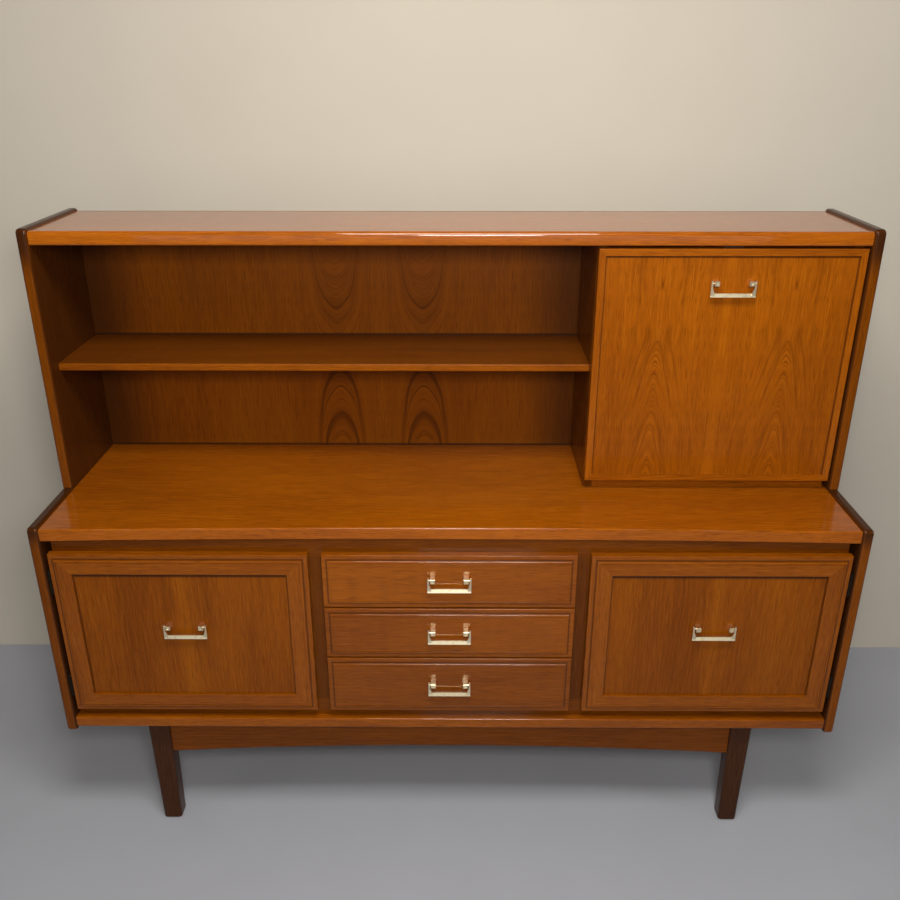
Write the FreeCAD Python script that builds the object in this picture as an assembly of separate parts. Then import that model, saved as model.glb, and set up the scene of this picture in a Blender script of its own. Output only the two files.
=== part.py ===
import FreeCAD, Part
import math
import os

# Credenza with hutch, in millimetres. X runs to the right and Z up from the floor.
# While it is drawn, Y runs to the back from the front edges of the base side panels.
# At the end the whole is moved along Y, so that the origin lies under its middle.

Vector = FreeCAD.Vector
ALONG_X = Vector(1, 0, 0)
ALONG_Y = Vector(0, 1, 0)
ALONG_Z = Vector(0, 0, 1)
SIDES = (-1, 1)

# Base and hutch outside
WIDTH = 1532.0
BASE_DEPTH = 410.0
LEG_HEIGHT = 271.0
BASE_HEIGHT = 446.5
HUTCH_DEPTH = 240.0
HUTCH_HEIGHT = 504.5
SIDE_THICKNESS = 20.0
SIDE_PROUD = 5.0
SIDE_LOW_PROUD = 8.0
SIDE_ARRIS = 6.0
SIDE_CORNER = 9.0
FLOOR_THICKNESS = 22.0
BASE_TOP_THICKNESS = 24.5
BASE_TOP_HOLLOW = 12.0
HUTCH_TOP_THICKNESS = 25.0
NOSE_UPPER = 8.0
NOSE_LOWER = 4.0
BOARD_ARRIS = 3.0
BACK_THICKNESS = 5.0
BACK_SETBACK = 3.0

# Carcass inside the base
SIDE_GAP = 7.0
RAIL_END_GAP = 12.0
END_THICKNESS = 18.0
CARCASS_SETBACK = 19.5
RAIL_THICKNESS = 20.0
RAIL_HEIGHT = 38.0
STILE_WIDTH = 40.0
STILE_CENTRE = 247.5
PARTITION_THICKNESS = 18.0
SPACER_WIDTH = 20.0
SPACER_SETBACK = 56.0
SHELF_THICKNESS = 16.0
SHELF_SETBACK = 60.0
CUPBOARD_SHELF_RISE = 180.0
SHELF_PLAY = 0.5
BEARER_SIZE = 12.0

# Doors
DOOR_THICKNESS = 18.0
DOOR_CLEARANCE = 1.0
DOOR_LAP = 6.5
DOOR_LOW_LAP = 16.5
DOOR_TOP_LAP = 12.0
FRAME_WIDTH = 40.0
PANEL_THICKNESS = 8.0
PANEL_RECESS = 5.0
PANEL_REBATE = 8.0
BORDER_WIDTH = 10.0
BORDER_DROP = 4.0
BEAD_RADIUS = 3.0
BEAD_WIDTH = 4.5
GROOVE_WIDTH = 1.6
GROOVE_DEPTH = 1.0
EDGE_ROUND = 1.2

# Drawers. The shares part the height that the fronts have between them.
DRAWER_WIDTH = 471.5
DRAWER_GAP = 4.0
DRAWER_LOW_LAP = 16.5
DRAWER_TOP_LAP = 12.0
BOTTOM_DRAWER_SHARE = 249 / 689
MIDDLE_DRAWER_SHARE = 218 / 689
TOP_DRAWER_SHARE = 222 / 689
BOX_SIDE_PLAY = 2.5
BOX_THICKNESS = 10.0
BOX_LENGTH = 362.0
BOX_LIFT = 20.0
BOX_DROP = 22.0
BOTTOM_THICKNESS = 4.0
BOTTOM_LIFT = 6.0
RUNNER_HEIGHT = 7.6
RUNNER_PLAY = 0.2
RUNNER_BITE = 4.5
RUNNER_STOP = 20.0
DRAWER_GROOVE_PLAY = 0.5
DRAWER_GROOVE_STOP = 20.0

# Door hinges
HINGE_LENGTH = 50.0
HINGE_INSET = 60.0
KNUCKLE_LENGTH = 18.0
KNUCKLE_GAP = 0.4
DOOR_KNUCKLE = 2.8
DOOR_PIN = 1.2
PIN_PLAY = 0.05
LEAF_THICKNESS = 1.5
LEAF_CLEARANCE = 0.3
DOOR_PIN_OFFSET = 3.5
DOOR_PIN_SETBACK = 6.0
FIXED_LEAF_DEPTH = 66.0
MOVING_LEAF_DEPTH = 11.5

# Hutch
CARCASS_STEP = 24.0
HUTCH_PARTITION_X = 264.5
BAY_SHELF_RISE = 235.5
BAY_SHELF_THICKNESS = 15.0
BAY_SHELF_SETBACK = 37.0
CABINET_FLOOR_THICKNESS = 18.0
CABINET_BEARER_HEIGHT = 3.0
CABINET_BEARER_DEPTH = 20.0
CABINET_GAP = 6.5
CABINET_SIDE_THICKNESS = 16.0
PACKING_SETBACK = 36.0
CABINET_SHELF_SETBACK = 45.0

# Flap
FLAP_LAP = 17.5
FLAP_SIDE_GAP = 3.5
FLAP_TOP_GAP = 4.5
FLAP_CLEARANCE = 0.5
FLAP_THICKNESS = 18.5
FLAP_EDGE_WIDTH = 12.5
FLAP_EDGE_PROUD = 3.5
FLAP_KNUCKLE = 3.0
FLAP_PIN = 1.2
FLAP_LEAF_DEPTH = 28.0
FLAP_HINGE_INSET = 95.0

# Flap stay
STAY_RADIUS = 105.0
STUD_ANGLE = math.radians(45)
STAY_PIVOT_LIFT = 103.9
STUD_RADIUS = 3.0
STUD_HEAD_RADIUS = 6.0
STUD_HEAD_THICKNESS = 2.0
STAY_THICKNESS = 2.0
STAY_WIDTH = 14.0
STAY_END = 10.0
STAY_OFFSET = 7.0
STAY_SIDE_PLAY = 0.3
SLOT_PLAY = 0.3
SLOT_SPARE = 2.0
BRACKET_THICKNESS = 1.5
BRACKET_WIDTH = 12.0
BRACKET_LENGTH = 34.0
STAY_PIN_RADIUS = 2.0

# Catches
CATCH_LENGTH = 36.0
CATCH_HEIGHT = 12.0
CATCH_DEPTH = 18.0
CATCH_GAP = 1.0
CATCH_INSET = 50.0
STRIKE_THICKNESS = 1.5
STRIKE_HEIGHT = 10.0

# Leg frame
LEG_TOP = 44.0
LEG_FOOT = 37.5
LEG_ROUND = 7.0
FOOT_EASE = 3.5
LEG_CENTRE_X = 595.0
LEG_SETBACK = 30.0
APRON_SETBACK = 9.0
APRON_THICKNESS = 20.0
APRON_END_HEIGHT = 94.0
APRON_ARCH = 17.0
APRON_ARRIS = 5.0
FRAME_RAIL_HEIGHT = 60.0
FRAME_RAIL_THICKNESS = 20.0

# Handles
POST_SIZE = 9.0
POST_LENGTH = 16.0
POST_SPACING = 62.0
POST_CHAMFER = 0.6
DIMPLE_RADIUS = 1.5
DIMPLE_DEPTH = 1.0
PIVOT_SETBACK = 6.0
BAIL_WIDTH = 81.0
BAIL_ARM = 3.0
BAIL_ARM_DEPTH = 4.0
BAIL_GUSSET = 7.0
GUSSET_START = 8.5
BAIL_DEPTH = 5.0
BAIL_SLOPE = 2.5
BAIL_BAR = 6.5
BAIL_DROP = 21.5
BAIL_PIN = 1.5
BAIL_PIN_BITE = 4.0
DRAWER_HANDLE_RISE = 11.0
DOOR_HANDLE_RISE = 25.0
FLAP_HANDLE_DROP = 60.0
FLAP_HANDLE_SHIFT = 4.5

# Running over of a cut past the face it starts from, and the tolerance that finds an edge
OVERRUN = 1.0
HAIR = 0.01

# Levels
floor_low = LEG_HEIGHT
floor_top = floor_low + FLOOR_THICKNESS
deck = LEG_HEIGHT + BASE_HEIGHT
deck_low = deck - BASE_TOP_THICKNESS
base_side_low = floor_low - SIDE_LOW_PROUD
base_side_top = deck + SIDE_PROUD
roof = deck + HUTCH_HEIGHT
roof_low = roof - HUTCH_TOP_THICKNESS
hutch_side_top = roof + SIDE_PROUD

# Planes across X, from the middle outwards
side_outer = WIDTH / 2
side_inner = side_outer - SIDE_THICKNESS
end_outer = side_inner - SIDE_GAP
end_inner = end_outer - END_THICKNESS
rail_end = side_inner - RAIL_END_GAP
stile_inner = STILE_CENTRE - STILE_WIDTH / 2
stile_outer = STILE_CENTRE + STILE_WIDTH / 2
partition_inner = STILE_CENTRE - PARTITION_THICKNESS
partition_outer = STILE_CENTRE
door_outer = end_outer - LEAF_CLEARANCE
door_inner = stile_outer - DOOR_LAP
bay_right = HUTCH_PARTITION_X
cabinet_left = bay_right + PARTITION_THICKNESS
cabinet_outer = side_inner - CABINET_GAP
cabinet_right = cabinet_outer - CABINET_SIDE_THICKNESS

# Planes along Y, from the front
board_front = SIDE_PROUD
back_front = BASE_DEPTH - BACK_SETBACK - BACK_THICKNESS
carcass_front = CARCASS_SETBACK
rail_back = carcass_front + RAIL_THICKNESS
door_back = carcass_front - DOOR_CLEARANCE
door_front = door_back - DOOR_THICKNESS
panel_front = door_front + PANEL_RECESS
hutch_front = BASE_DEPTH - HUTCH_DEPTH
roof_front = hutch_front + SIDE_PROUD
cabinet_front = hutch_front + CARCASS_STEP
flap_back = cabinet_front - FLAP_CLEARANCE
flap_front = flap_back - FLAP_THICKNESS
flap_panel_front = flap_front + FLAP_EDGE_PROUD

# Doors, rails, drawers
rail_low_top = floor_top + RAIL_HEIGHT
rail_high_low = deck_low - RAIL_HEIGHT
door_low = rail_low_top - DOOR_LOW_LAP
door_top = rail_high_low + DOOR_TOP_LAP
bottom_drawer_low = rail_low_top - DRAWER_LOW_LAP
drawer_fronts_height = rail_high_low + DRAWER_TOP_LAP - bottom_drawer_low - 2 * DRAWER_GAP
bottom_drawer_height = drawer_fronts_height * BOTTOM_DRAWER_SHARE
middle_drawer_low = bottom_drawer_low + bottom_drawer_height + DRAWER_GAP
middle_drawer_height = drawer_fronts_height * MIDDLE_DRAWER_SHARE
top_drawer_low = middle_drawer_low + middle_drawer_height + DRAWER_GAP
top_drawer_height = drawer_fronts_height * TOP_DRAWER_SHARE
DRAWERS = {
    "top_drawer": (top_drawer_low, top_drawer_height),
    "middle_drawer": (middle_drawer_low, middle_drawer_height),
    "bottom_drawer": (bottom_drawer_low, bottom_drawer_height),
}
box_outer = stile_inner - BOX_SIDE_PLAY
box_inner = box_outer - BOX_THICKNESS
box_back = door_back + BOX_LENGTH
runner_inner = box_outer - RUNNER_BITE
groove_inner = runner_inner - DRAWER_GROOVE_PLAY

# Shelves
cupboard_shelf_low = floor_top + CUPBOARD_SHELF_RISE
bay_shelf_low = deck + BAY_SHELF_RISE
cabinet_floor_low = deck + CABINET_BEARER_HEIGHT
cabinet_floor_top = cabinet_floor_low + CABINET_FLOOR_THICKNESS

# Hinge lines and the flap stay. The stud and the arm's pivot lie on one circle about the flap's pin,
# so the arm turns by exactly half as much as the flap.
door_pin_x = end_outer + DOOR_PIN_OFFSET
door_pin_y = DOOR_PIN_SETBACK
flap_pin_y = cabinet_front
flap_pin_z = cabinet_floor_top
flap_low = flap_pin_z + FLAP_CLEARANCE
flap_top = roof_low - FLAP_TOP_GAP
flap_left = cabinet_left - FLAP_LAP
flap_right = side_inner - FLAP_SIDE_GAP
door_hinge_levels = (door_low + HINGE_INSET, door_top - HINGE_INSET)
flap_hinge_places = (flap_left + FLAP_HINGE_INSET, flap_right - FLAP_HINGE_INSET)
stud_y = flap_pin_y + STAY_RADIUS * math.cos(STUD_ANGLE)
stud_z = flap_pin_z + STAY_RADIUS * math.sin(STUD_ANGLE)
pivot_angle = math.asin(STAY_PIVOT_LIFT / STAY_RADIUS)
stay_pivot_y = flap_pin_y + STAY_RADIUS * math.cos(pivot_angle)
stay_pivot_z = flap_pin_z + STAY_PIVOT_LIFT
stay_closed = 2 * STAY_RADIUS * math.sin((pivot_angle - STUD_ANGLE) / 2)
stay_open = 2 * STAY_RADIUS * math.sin((pivot_angle + math.pi / 2 - STUD_ANGLE) / 2)
stay_tilt = math.atan2(stud_z - stay_pivot_z, stud_y - stay_pivot_y)
stay_outer = cabinet_right - STAY_OFFSET
stay_inner = stay_outer - STAY_THICKNESS

# Handle centres: name of the moving part, X, face the posts stand on, Z
door_centre = (door_inner + door_outer) / 2
door_handle_z = (door_low + door_top) / 2 + DOOR_HANDLE_RISE
flap_handle_x = (flap_left + flap_right) / 2 + FLAP_HANDLE_SHIFT
flap_handle_z = flap_top - FLAP_HANDLE_DROP
HANDLES = {
    "left_door": (-door_centre, panel_front, door_handle_z),
    "right_door": (door_centre, panel_front, door_handle_z),
    "flap": (flap_handle_x, flap_panel_front, flap_handle_z),
}
for drawer, (low, height) in DRAWERS.items():
    HANDLES[drawer] = (0, door_front, low + height / 2 + DRAWER_HANDLE_RISE)

whole_front = door_front - POST_LENGTH
whole_middle = (whole_front + BASE_DEPTH) / 2


# Helpers

def box(xs, ys, zs):
    """Block that fills the three spans."""
    spans = [sorted(span) for span in (xs, ys, zs)]
    size = [high - low for low, high in spans]
    return Part.makeBox(*size, Vector(*[span[0] for span in spans]))


def inset(span, by):
    """Span drawn in by one amount at both ends."""
    low, high = sorted(span)
    return (low + by, high - by)


def on_side(side, span):
    """Span taken to the left or the right half."""
    return tuple(sorted((side * span[0], side * span[1])))


def about(centre, length):
    """Span of one length about its centre."""
    return (centre - length / 2, centre + length / 2)


def cylinder(radius, start, end):
    """Round bar from one point to another."""
    way = end - start
    return Part.makeCylinder(radius, way.Length, start, way)


def in_plane(edge, axis, value):
    """Whether an edge lies wholly in the plane where one coordinate has the value."""
    bounds = edge.BoundBox
    low = getattr(bounds, axis + "Min")
    high = getattr(bounds, axis + "Max")
    return abs(low - value) < HAIR and abs(high - value) < HAIR


def edges_in(shape, axis, value):
    return [edge for edge in shape.Edges if in_plane(edge, axis, value)]


def rim_edges(shape, y, xs, zs):
    """Edges in the plane at y that run round one rectangle."""
    def on_rim(edge):
        return (any(in_plane(edge, "X", value) for value in xs)
                or any(in_plane(edge, "Z", value) for value in zs))
    return [edge for edge in edges_in(shape, "Y", y) if on_rim(edge)]


def ring(xs, zs, ys, width):
    """Rectangular ring of one width, inside the spans."""
    return box(xs, ys, zs).cut(box(inset(xs, width), (ys[0] - OVERRUN, ys[1] + OVERRUN), inset(zs, width)))


def mitred(shape, xs, zs, ys, width):
    """The four members of a rectangular frame, cut apart along their mitres."""
    (left, right), (low, high) = sorted(xs), sorted(zs)
    corners = [(left, low), (right, low), (right, high), (left, high)]
    inner = [(left + width, low + width), (right - width, low + width),
             (right - width, high - width), (left + width, high - width)]
    members = []
    for start in range(4):
        end = (start + 1) % 4
        outline = [corners[start], corners[end], inner[end], inner[start], corners[start]]
        face = Part.Face(Part.makePolygon([Vector(x, ys[0], z) for x, z in outline]))
        region = face.extrude(ALONG_Y * (ys[1] - ys[0]))
        members.append(shape.common(region))
    return members


def solids_of(shapes):
    return [solid for shape in shapes for solid in shape.Solids]


def save(name, *shapes):
    """Write one node, moved so that the origin lies under the middle of the whole."""
    node = Part.makeCompound(solids_of(shapes))
    node.translate(Vector(0, -whole_middle, 0))
    if len(node.Solids) == 1:
        node = node.Solids[0]
    node.exportStep("parts/" + name + ".step")


# Side panels and boards

def side_panel(side, front, low, high, corners):
    """Upright board with rounded front corners and rounded long edges."""
    xs = on_side(side, (side_inner, side_outer))
    panel = box(xs, (front, BASE_DEPTH), (low, high))
    ends = [edge for level in corners for edge in edges_in(panel, "Z", level) if in_plane(edge, "Y", front)]
    panel = panel.makeFillet(SIDE_CORNER, ends)
    still_sharp = [("Y", BASE_DEPTH)] + [("Z", level) for level in (low, high) if level not in corners]
    edges = [edge for x in xs for edge in edges_in(panel, "X", x)
             if not any(in_plane(edge, axis, value) for axis, value in still_sharp)]
    return panel.makeFillet(min(SIDE_ARRIS, SIDE_THICKNESS / 3), edges)


def base_top():
    """Board whose front edge is slightly hollow along its length."""
    start = Vector(-side_inner, board_front, deck_low)
    middle = Vector(0, board_front + BASE_TOP_HOLLOW, deck_low)
    end = Vector(side_inner, board_front, deck_low)
    right_back = Vector(side_inner, back_front, deck_low)
    left_back = Vector(-side_inner, back_front, deck_low)
    outline = Part.Wire([Part.Arc(start, middle, end).toShape(), Part.makeLine(end, right_back),
                         Part.makeLine(right_back, left_back), Part.makeLine(left_back, start)])
    board = Part.Face(outline).extrude(ALONG_Z * BASE_TOP_THICKNESS)
    arrises = [edge for edge in board.Edges if edge.Curve.TypeId == "Part::GeomCircle"]
    return board.makeFillet(BOARD_ARRIS, arrises)


def fronted_board(xs, ys, zs, upper, lower):
    """Board with its two front arrises rounded."""
    board = box(xs, ys, zs)
    for radius, level in ((upper, zs[1]), (lower, zs[0])):
        arris = [edge for edge in edges_in(board, "Z", level) if in_plane(edge, "Y", ys[0])]
        board = board.makeFillet(radius, arris)
    return board


# Carcass of the base

def front_rails():
    xs = (-rail_end, rail_end)
    ys = (carcass_front, rail_back)
    return [box(xs, ys, (floor_top, rail_low_top)), box(xs, ys, (rail_high_low, deck_low))]


def carcass_end(side):
    """Inner end board, behind the two front rails."""
    return box(on_side(side, (end_inner, end_outer)), (rail_back, back_front), (floor_top, deck_low))


def front_stiles():
    ys, zs = (carcass_front, rail_back), (rail_low_top, rail_high_low)
    return [box(on_side(side, (stile_inner, stile_outer)), ys, zs) for side in SIDES]


def partition(side):
    xs = on_side(side, (partition_inner, partition_outer))
    return box(xs, (rail_back, back_front), (floor_top, deck_low))


def spacer_strips():
    """Strips that fill the gaps beside the base carcass and beside the flap cabinet."""
    front = (carcass_front + SPACER_SETBACK, carcass_front + SPACER_SETBACK + SPACER_WIDTH)
    back = (back_front - SPACER_WIDTH, back_front)
    strips = [box(on_side(side, (end_outer, side_inner)), ys, (floor_top, deck_low))
              for side in SIDES for ys in (front, back)]
    front = (cabinet_front + PACKING_SETBACK, cabinet_front + PACKING_SETBACK + SPACER_WIDTH)
    strips += [box((cabinet_outer, side_inner), ys, (cabinet_floor_low, roof_low)) for ys in (front, back)]
    return strips


def cupboard_shelves():
    xs = (partition_outer + SHELF_PLAY, end_inner - SHELF_PLAY)
    zs = (cupboard_shelf_low, cupboard_shelf_low + SHELF_THICKNESS)
    return [box(on_side(side, xs), (SHELF_SETBACK, back_front - SHELF_PLAY), zs) for side in SIDES]


def bearer(wall, inward, front, top):
    """Strip under one end of a shelf, against a wall."""
    xs, ys = (wall, wall + inward * BEARER_SIZE), (front, back_front - BEARER_SIZE)
    return box(xs, ys, (top - BEARER_SIZE, top))


def shelf_bearers():
    strips = []
    for side in SIDES:
        strips.append(bearer(side * partition_outer, side, SHELF_SETBACK + BEARER_SIZE, cupboard_shelf_low))
        strips.append(bearer(side * end_inner, -side, SHELF_SETBACK + BEARER_SIZE, cupboard_shelf_low))
    front = cabinet_front + CABINET_SHELF_SETBACK + BEARER_SIZE
    strips.append(bearer(cabinet_left, 1, front, bay_shelf_low))
    strips.append(bearer(cabinet_right, -1, front, bay_shelf_low))
    return strips


def runner_level(low):
    """Middle of a drawer's runners, half way up its box side."""
    return low + BOX_LIFT + BOX_DROP


def drawer_runners():
    """Strips on the partitions, which the grooved drawer sides slide on."""
    runners = []
    for low, height in DRAWERS.values():
        zs = about(runner_level(low), RUNNER_HEIGHT)
        for side in SIDES:
            xs = on_side(side, (runner_inner, partition_inner))
            runners.append(box(xs, (rail_back, back_front - RUNNER_STOP), zs))
    return runners


# Drawers

def drawer_front(low, height):
    return moulded_board(about(0, DRAWER_WIDTH), (low, low + height))


def drawer_box(low, height):
    """Two grooved sides, a back and a thin bottom."""
    ys = (door_back, box_back)
    zs = (low + BOX_LIFT, low + height - BOX_DROP)
    groove_height = RUNNER_HEIGHT + 2 * RUNNER_PLAY
    pieces = []
    for side in SIDES:
        board = box(on_side(side, (box_inner, box_outer)), ys, zs)
        groove_ys = (ys[0] + DRAWER_GROOVE_STOP, ys[1] + OVERRUN)
        groove = box(on_side(side, (groove_inner, box_outer + OVERRUN)), groove_ys,
                     about(runner_level(low), groove_height))
        pieces.append(board.cut(groove))
    xs = (-box_inner, box_inner)
    bottom_low = zs[0] + BOTTOM_LIFT
    pieces.append(box(xs, (box_back - BOX_THICKNESS, box_back), zs))
    pieces.append(box(xs, (ys[0], box_back - BOX_THICKNESS), (bottom_low, bottom_low + BOTTOM_THICKNESS)))
    return pieces


# Doors

def moulded_board(xs, zs):
    """Board with a lowered border, a bead round the raised field and a fine groove behind the bead."""
    board = box(xs, (door_front, door_back), zs)
    border_front = door_front + BORDER_DROP
    board = board.cut(ring(xs, zs, (door_front, border_front), BORDER_WIDTH))
    field_xs, field_zs = inset(xs, BORDER_WIDTH), inset(zs, BORDER_WIDTH)
    groove_xs, groove_zs = inset(field_xs, BEAD_WIDTH), inset(field_zs, BEAD_WIDTH)
    board = board.cut(ring(groove_xs, groove_zs, (door_front, door_front + GROOVE_DEPTH), GROOVE_WIDTH))
    board = board.makeFillet(BEAD_RADIUS, rim_edges(board, door_front, field_xs, field_zs))
    return board.makeFillet(EDGE_ROUND, rim_edges(board, border_front, xs, zs))


def door_spans(side):
    return on_side(side, (door_inner, door_outer)), (door_low, door_top)


def door_frame(side):
    """Four mitred members, rebated at the back for the panel and let in for the hinges."""
    xs, zs = door_spans(side)
    frame = moulded_board(xs, zs)
    sight_xs, sight_zs = inset(xs, FRAME_WIDTH), inset(zs, FRAME_WIDTH)
    frame = frame.cut(box(sight_xs, (door_front - OVERRUN, door_back + OVERRUN), sight_zs))
    frame = frame.makeFillet(EDGE_ROUND, rim_edges(frame, door_front, sight_xs, sight_zs))
    rebate = FRAME_WIDTH - PANEL_REBATE
    frame = frame.cut(box(inset(xs, rebate), (panel_front, door_back + OVERRUN), inset(zs, rebate)))
    for level in door_hinge_levels:
        frame = frame.cut(moving_door_leaf(side, level))
    return mitred(frame, xs, zs, (door_front, door_back), FRAME_WIDTH)


def door_panel(side):
    xs, zs = door_spans(side)
    rebate = FRAME_WIDTH - PANEL_REBATE
    return box(inset(xs, rebate), (panel_front, panel_front + PANEL_THICKNESS), inset(zs, rebate))


# Hinges: the fixed part holds the pin, the moving part turns on it

def door_knuckle(side, radius, zs):
    start = Vector(side * door_pin_x, door_pin_y, zs[0])
    return cylinder(radius, start, start + ALONG_Z * (zs[1] - zs[0]))


def moving_door_leaf(side, level):
    """Leaf let into the edge of the door."""
    xs = on_side(side, (door_outer - LEAF_THICKNESS, door_outer))
    ys = (door_pin_y - LEAF_THICKNESS / 2, door_pin_y + MOVING_LEAF_DEPTH)
    return box(xs, ys, about(level, HINGE_LENGTH))


def moving_door_hinge(side, level):
    zs = about(level, KNUCKLE_LENGTH)
    bridge = box(on_side(side, (door_outer, door_pin_x)), about(door_pin_y, LEAF_THICKNESS), zs)
    hinge = moving_door_leaf(side, level).fuse([bridge, door_knuckle(side, DOOR_KNUCKLE, zs)])
    bore = door_knuckle(side, DOOR_PIN + PIN_PLAY, inset(zs, -OVERRUN))
    return hinge.cut(bore)


def fixed_door_hinge(side, level):
    """Leaf on the outer face of the carcass end, cut away beside the moving knuckle."""
    zs = about(level, HINGE_LENGTH)
    middle = inset(about(level, KNUCKLE_LENGTH), -KNUCKLE_GAP)
    xs = on_side(side, (end_outer, end_outer + LEAF_THICKNESS))
    leaf = box(xs, (door_pin_y, door_pin_y + FIXED_LEAF_DEPTH), zs)
    notch_ys = (door_pin_y - OVERRUN, door_pin_y + DOOR_KNUCKLE + LEAF_CLEARANCE)
    leaf = leaf.cut(box(inset(xs, -OVERRUN), notch_ys, middle))
    knuckles = [door_knuckle(side, DOOR_KNUCKLE, span) for span in ((zs[0], middle[0]), (middle[1], zs[1]))]
    return leaf.fuse(knuckles + [door_knuckle(side, DOOR_PIN, zs)])


def flap_knuckle(radius, xs):
    start = Vector(xs[0], flap_pin_y, flap_pin_z)
    return cylinder(radius, start, start + ALONG_X * (xs[1] - xs[0]))


def flap_hinge_spans(place):
    """The whole hinge and its moving middle knuckle, along X."""
    return about(place, HINGE_LENGTH), about(place, KNUCKLE_LENGTH)


def flap_hinge_hollow(place):
    """Room for the knuckles in the flap and in the cabinet floor."""
    return flap_knuckle(FLAP_KNUCKLE + LEAF_CLEARANCE, inset(about(place, HINGE_LENGTH), -KNUCKLE_GAP))


def moving_flap_leaf(place):
    xs = flap_hinge_spans(place)[0]
    return box(xs, (flap_back - LEAF_THICKNESS, flap_back), (flap_low, flap_low + FLAP_LEAF_DEPTH))


def moving_flap_hinge(place):
    xs, middle = flap_hinge_spans(place)
    leaf = moving_flap_leaf(place)
    leaf = leaf.cut(flap_knuckle(FLAP_KNUCKLE + LEAF_CLEARANCE, inset(xs, -OVERRUN)))
    web = box(middle, (flap_back - LEAF_THICKNESS, flap_back), (flap_pin_z, flap_low + FLAP_KNUCKLE))
    hinge = leaf.fuse([web, flap_knuckle(FLAP_KNUCKLE, middle)])
    return hinge.cut(flap_knuckle(FLAP_PIN + PIN_PLAY, inset(middle, -OVERRUN)))


def fixed_flap_leaf(place):
    xs = flap_hinge_spans(place)[0]
    return box(xs, (flap_pin_y, flap_pin_y + FLAP_LEAF_DEPTH), (flap_pin_z - LEAF_THICKNESS, flap_pin_z))


def fixed_flap_hinge(place):
    xs, middle = flap_hinge_spans(place)
    middle = inset(middle, -KNUCKLE_GAP)
    leaf = fixed_flap_leaf(place).cut(flap_knuckle(FLAP_KNUCKLE + LEAF_CLEARANCE, middle))
    knuckles = [flap_knuckle(FLAP_KNUCKLE, span) for span in ((xs[0], middle[0]), (middle[1], xs[1]))]
    return leaf.fuse(knuckles + [flap_knuckle(FLAP_PIN, xs)])


def hinge_plates():
    plates = [fixed_door_hinge(side, level) for side in SIDES for level in door_hinge_levels]
    return plates + [fixed_flap_hinge(place) for place in flap_hinge_places]


# Catches and their strike plates

def catches():
    door_xs = (door_inner + CATCH_INSET, door_inner + CATCH_INSET + CATCH_LENGTH)
    places = [(on_side(side, door_xs), door_back, rail_high_low) for side in SIDES]
    places.append((about(flap_handle_x, CATCH_LENGTH), flap_back, roof_low))
    blocks = []
    for xs, back, top in places:
        front = back + STRIKE_THICKNESS + CATCH_GAP
        blocks.append(box(xs, (front, front + CATCH_DEPTH), (top - CATCH_HEIGHT, top)))
    return blocks


def strike_plate(xs, back, top):
    return box(xs, (back, back + STRIKE_THICKNESS), (top - STRIKE_HEIGHT, top))


def door_fittings(side):
    """Moving hinge leaves and the strike plate of one door."""
    xs = on_side(side, (door_inner + CATCH_INSET, door_inner + CATCH_INSET + CATCH_LENGTH))
    plate = strike_plate(xs, door_back, rail_high_low - CATCH_GAP)
    return [moving_door_hinge(side, level) for level in door_hinge_levels] + [plate]


# Hutch

def cabinet_floor():
    """Board under the flap cabinet, hollowed for the flap's hinges."""
    zs = (cabinet_floor_low, cabinet_floor_top)
    board = box((cabinet_left, cabinet_outer), (cabinet_front, back_front), zs)
    for place in flap_hinge_places:
        board = board.cut(flap_hinge_hollow(place)).cut(fixed_flap_leaf(place))
    return board


def cabinet_bearers():
    front = (cabinet_front, cabinet_front + CABINET_BEARER_DEPTH)
    back = (back_front - CABINET_BEARER_DEPTH, back_front)
    return [box((cabinet_left, cabinet_outer), ys, (deck, cabinet_floor_low)) for ys in (front, back)]


def cabinet_shelf():
    xs = (cabinet_left + SHELF_PLAY, cabinet_right - SHELF_PLAY)
    ys = (cabinet_front + CABINET_SHELF_SETBACK, back_front - SHELF_PLAY)
    return box(xs, ys, (bay_shelf_low, bay_shelf_low + BAY_SHELF_THICKNESS))


# Flap and its stay

def flap_frame():
    """Narrow mitred edging, proud of the board, hollowed for the hinges."""
    xs, zs = (flap_left, flap_right), (flap_low, flap_top)
    ys = (flap_front, flap_back)
    frame = ring(xs, zs, ys, FLAP_EDGE_WIDTH)
    frame = frame.makeFillet(EDGE_ROUND, rim_edges(frame, flap_front, xs, zs))
    for place in flap_hinge_places:
        frame = frame.cut(flap_hinge_hollow(place)).cut(moving_flap_leaf(place))
    return mitred(frame, xs, zs, ys, FLAP_EDGE_WIDTH)


def flap_panel():
    xs, zs = inset((flap_left, flap_right), FLAP_EDGE_WIDTH), inset((flap_low, flap_top), FLAP_EDGE_WIDTH)
    panel = box(xs, (flap_panel_front, flap_back), zs)
    for place in flap_hinge_places:
        panel = panel.cut(moving_flap_leaf(place))
    return panel


def stay_bracket():
    """Angle on the back of the flap, with the pin that the stay turns on."""
    ear_outer = stay_inner - STAY_SIDE_PLAY
    ear_xs = (ear_outer - BRACKET_THICKNESS, ear_outer)
    zs = about(stay_pivot_z, BRACKET_LENGTH)
    plate = box((ear_xs[0] - BRACKET_WIDTH, ear_outer), (flap_back, flap_back + BRACKET_THICKNESS), zs)
    ear = box(ear_xs, (flap_back, stay_pivot_y), about(stay_pivot_z, STAY_WIDTH))
    pivot = Vector(ear_xs[0], stay_pivot_y, stay_pivot_z)
    eye = cylinder(STAY_WIDTH / 2, pivot, pivot + ALONG_X * BRACKET_THICKNESS)
    pin = cylinder(STAY_PIN_RADIUS, pivot, pivot + ALONG_X * (stay_outer + STAY_SIDE_PLAY - ear_xs[0]))
    return plate.fuse([ear, eye, pin])


def flap_fittings():
    """Moving hinge leaves, stay bracket and strike plate of the flap."""
    plate = strike_plate(about(flap_handle_x, CATCH_LENGTH), flap_back, flap_top)
    return [moving_flap_hinge(place) for place in flap_hinge_places] + [stay_bracket(), plate]


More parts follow.
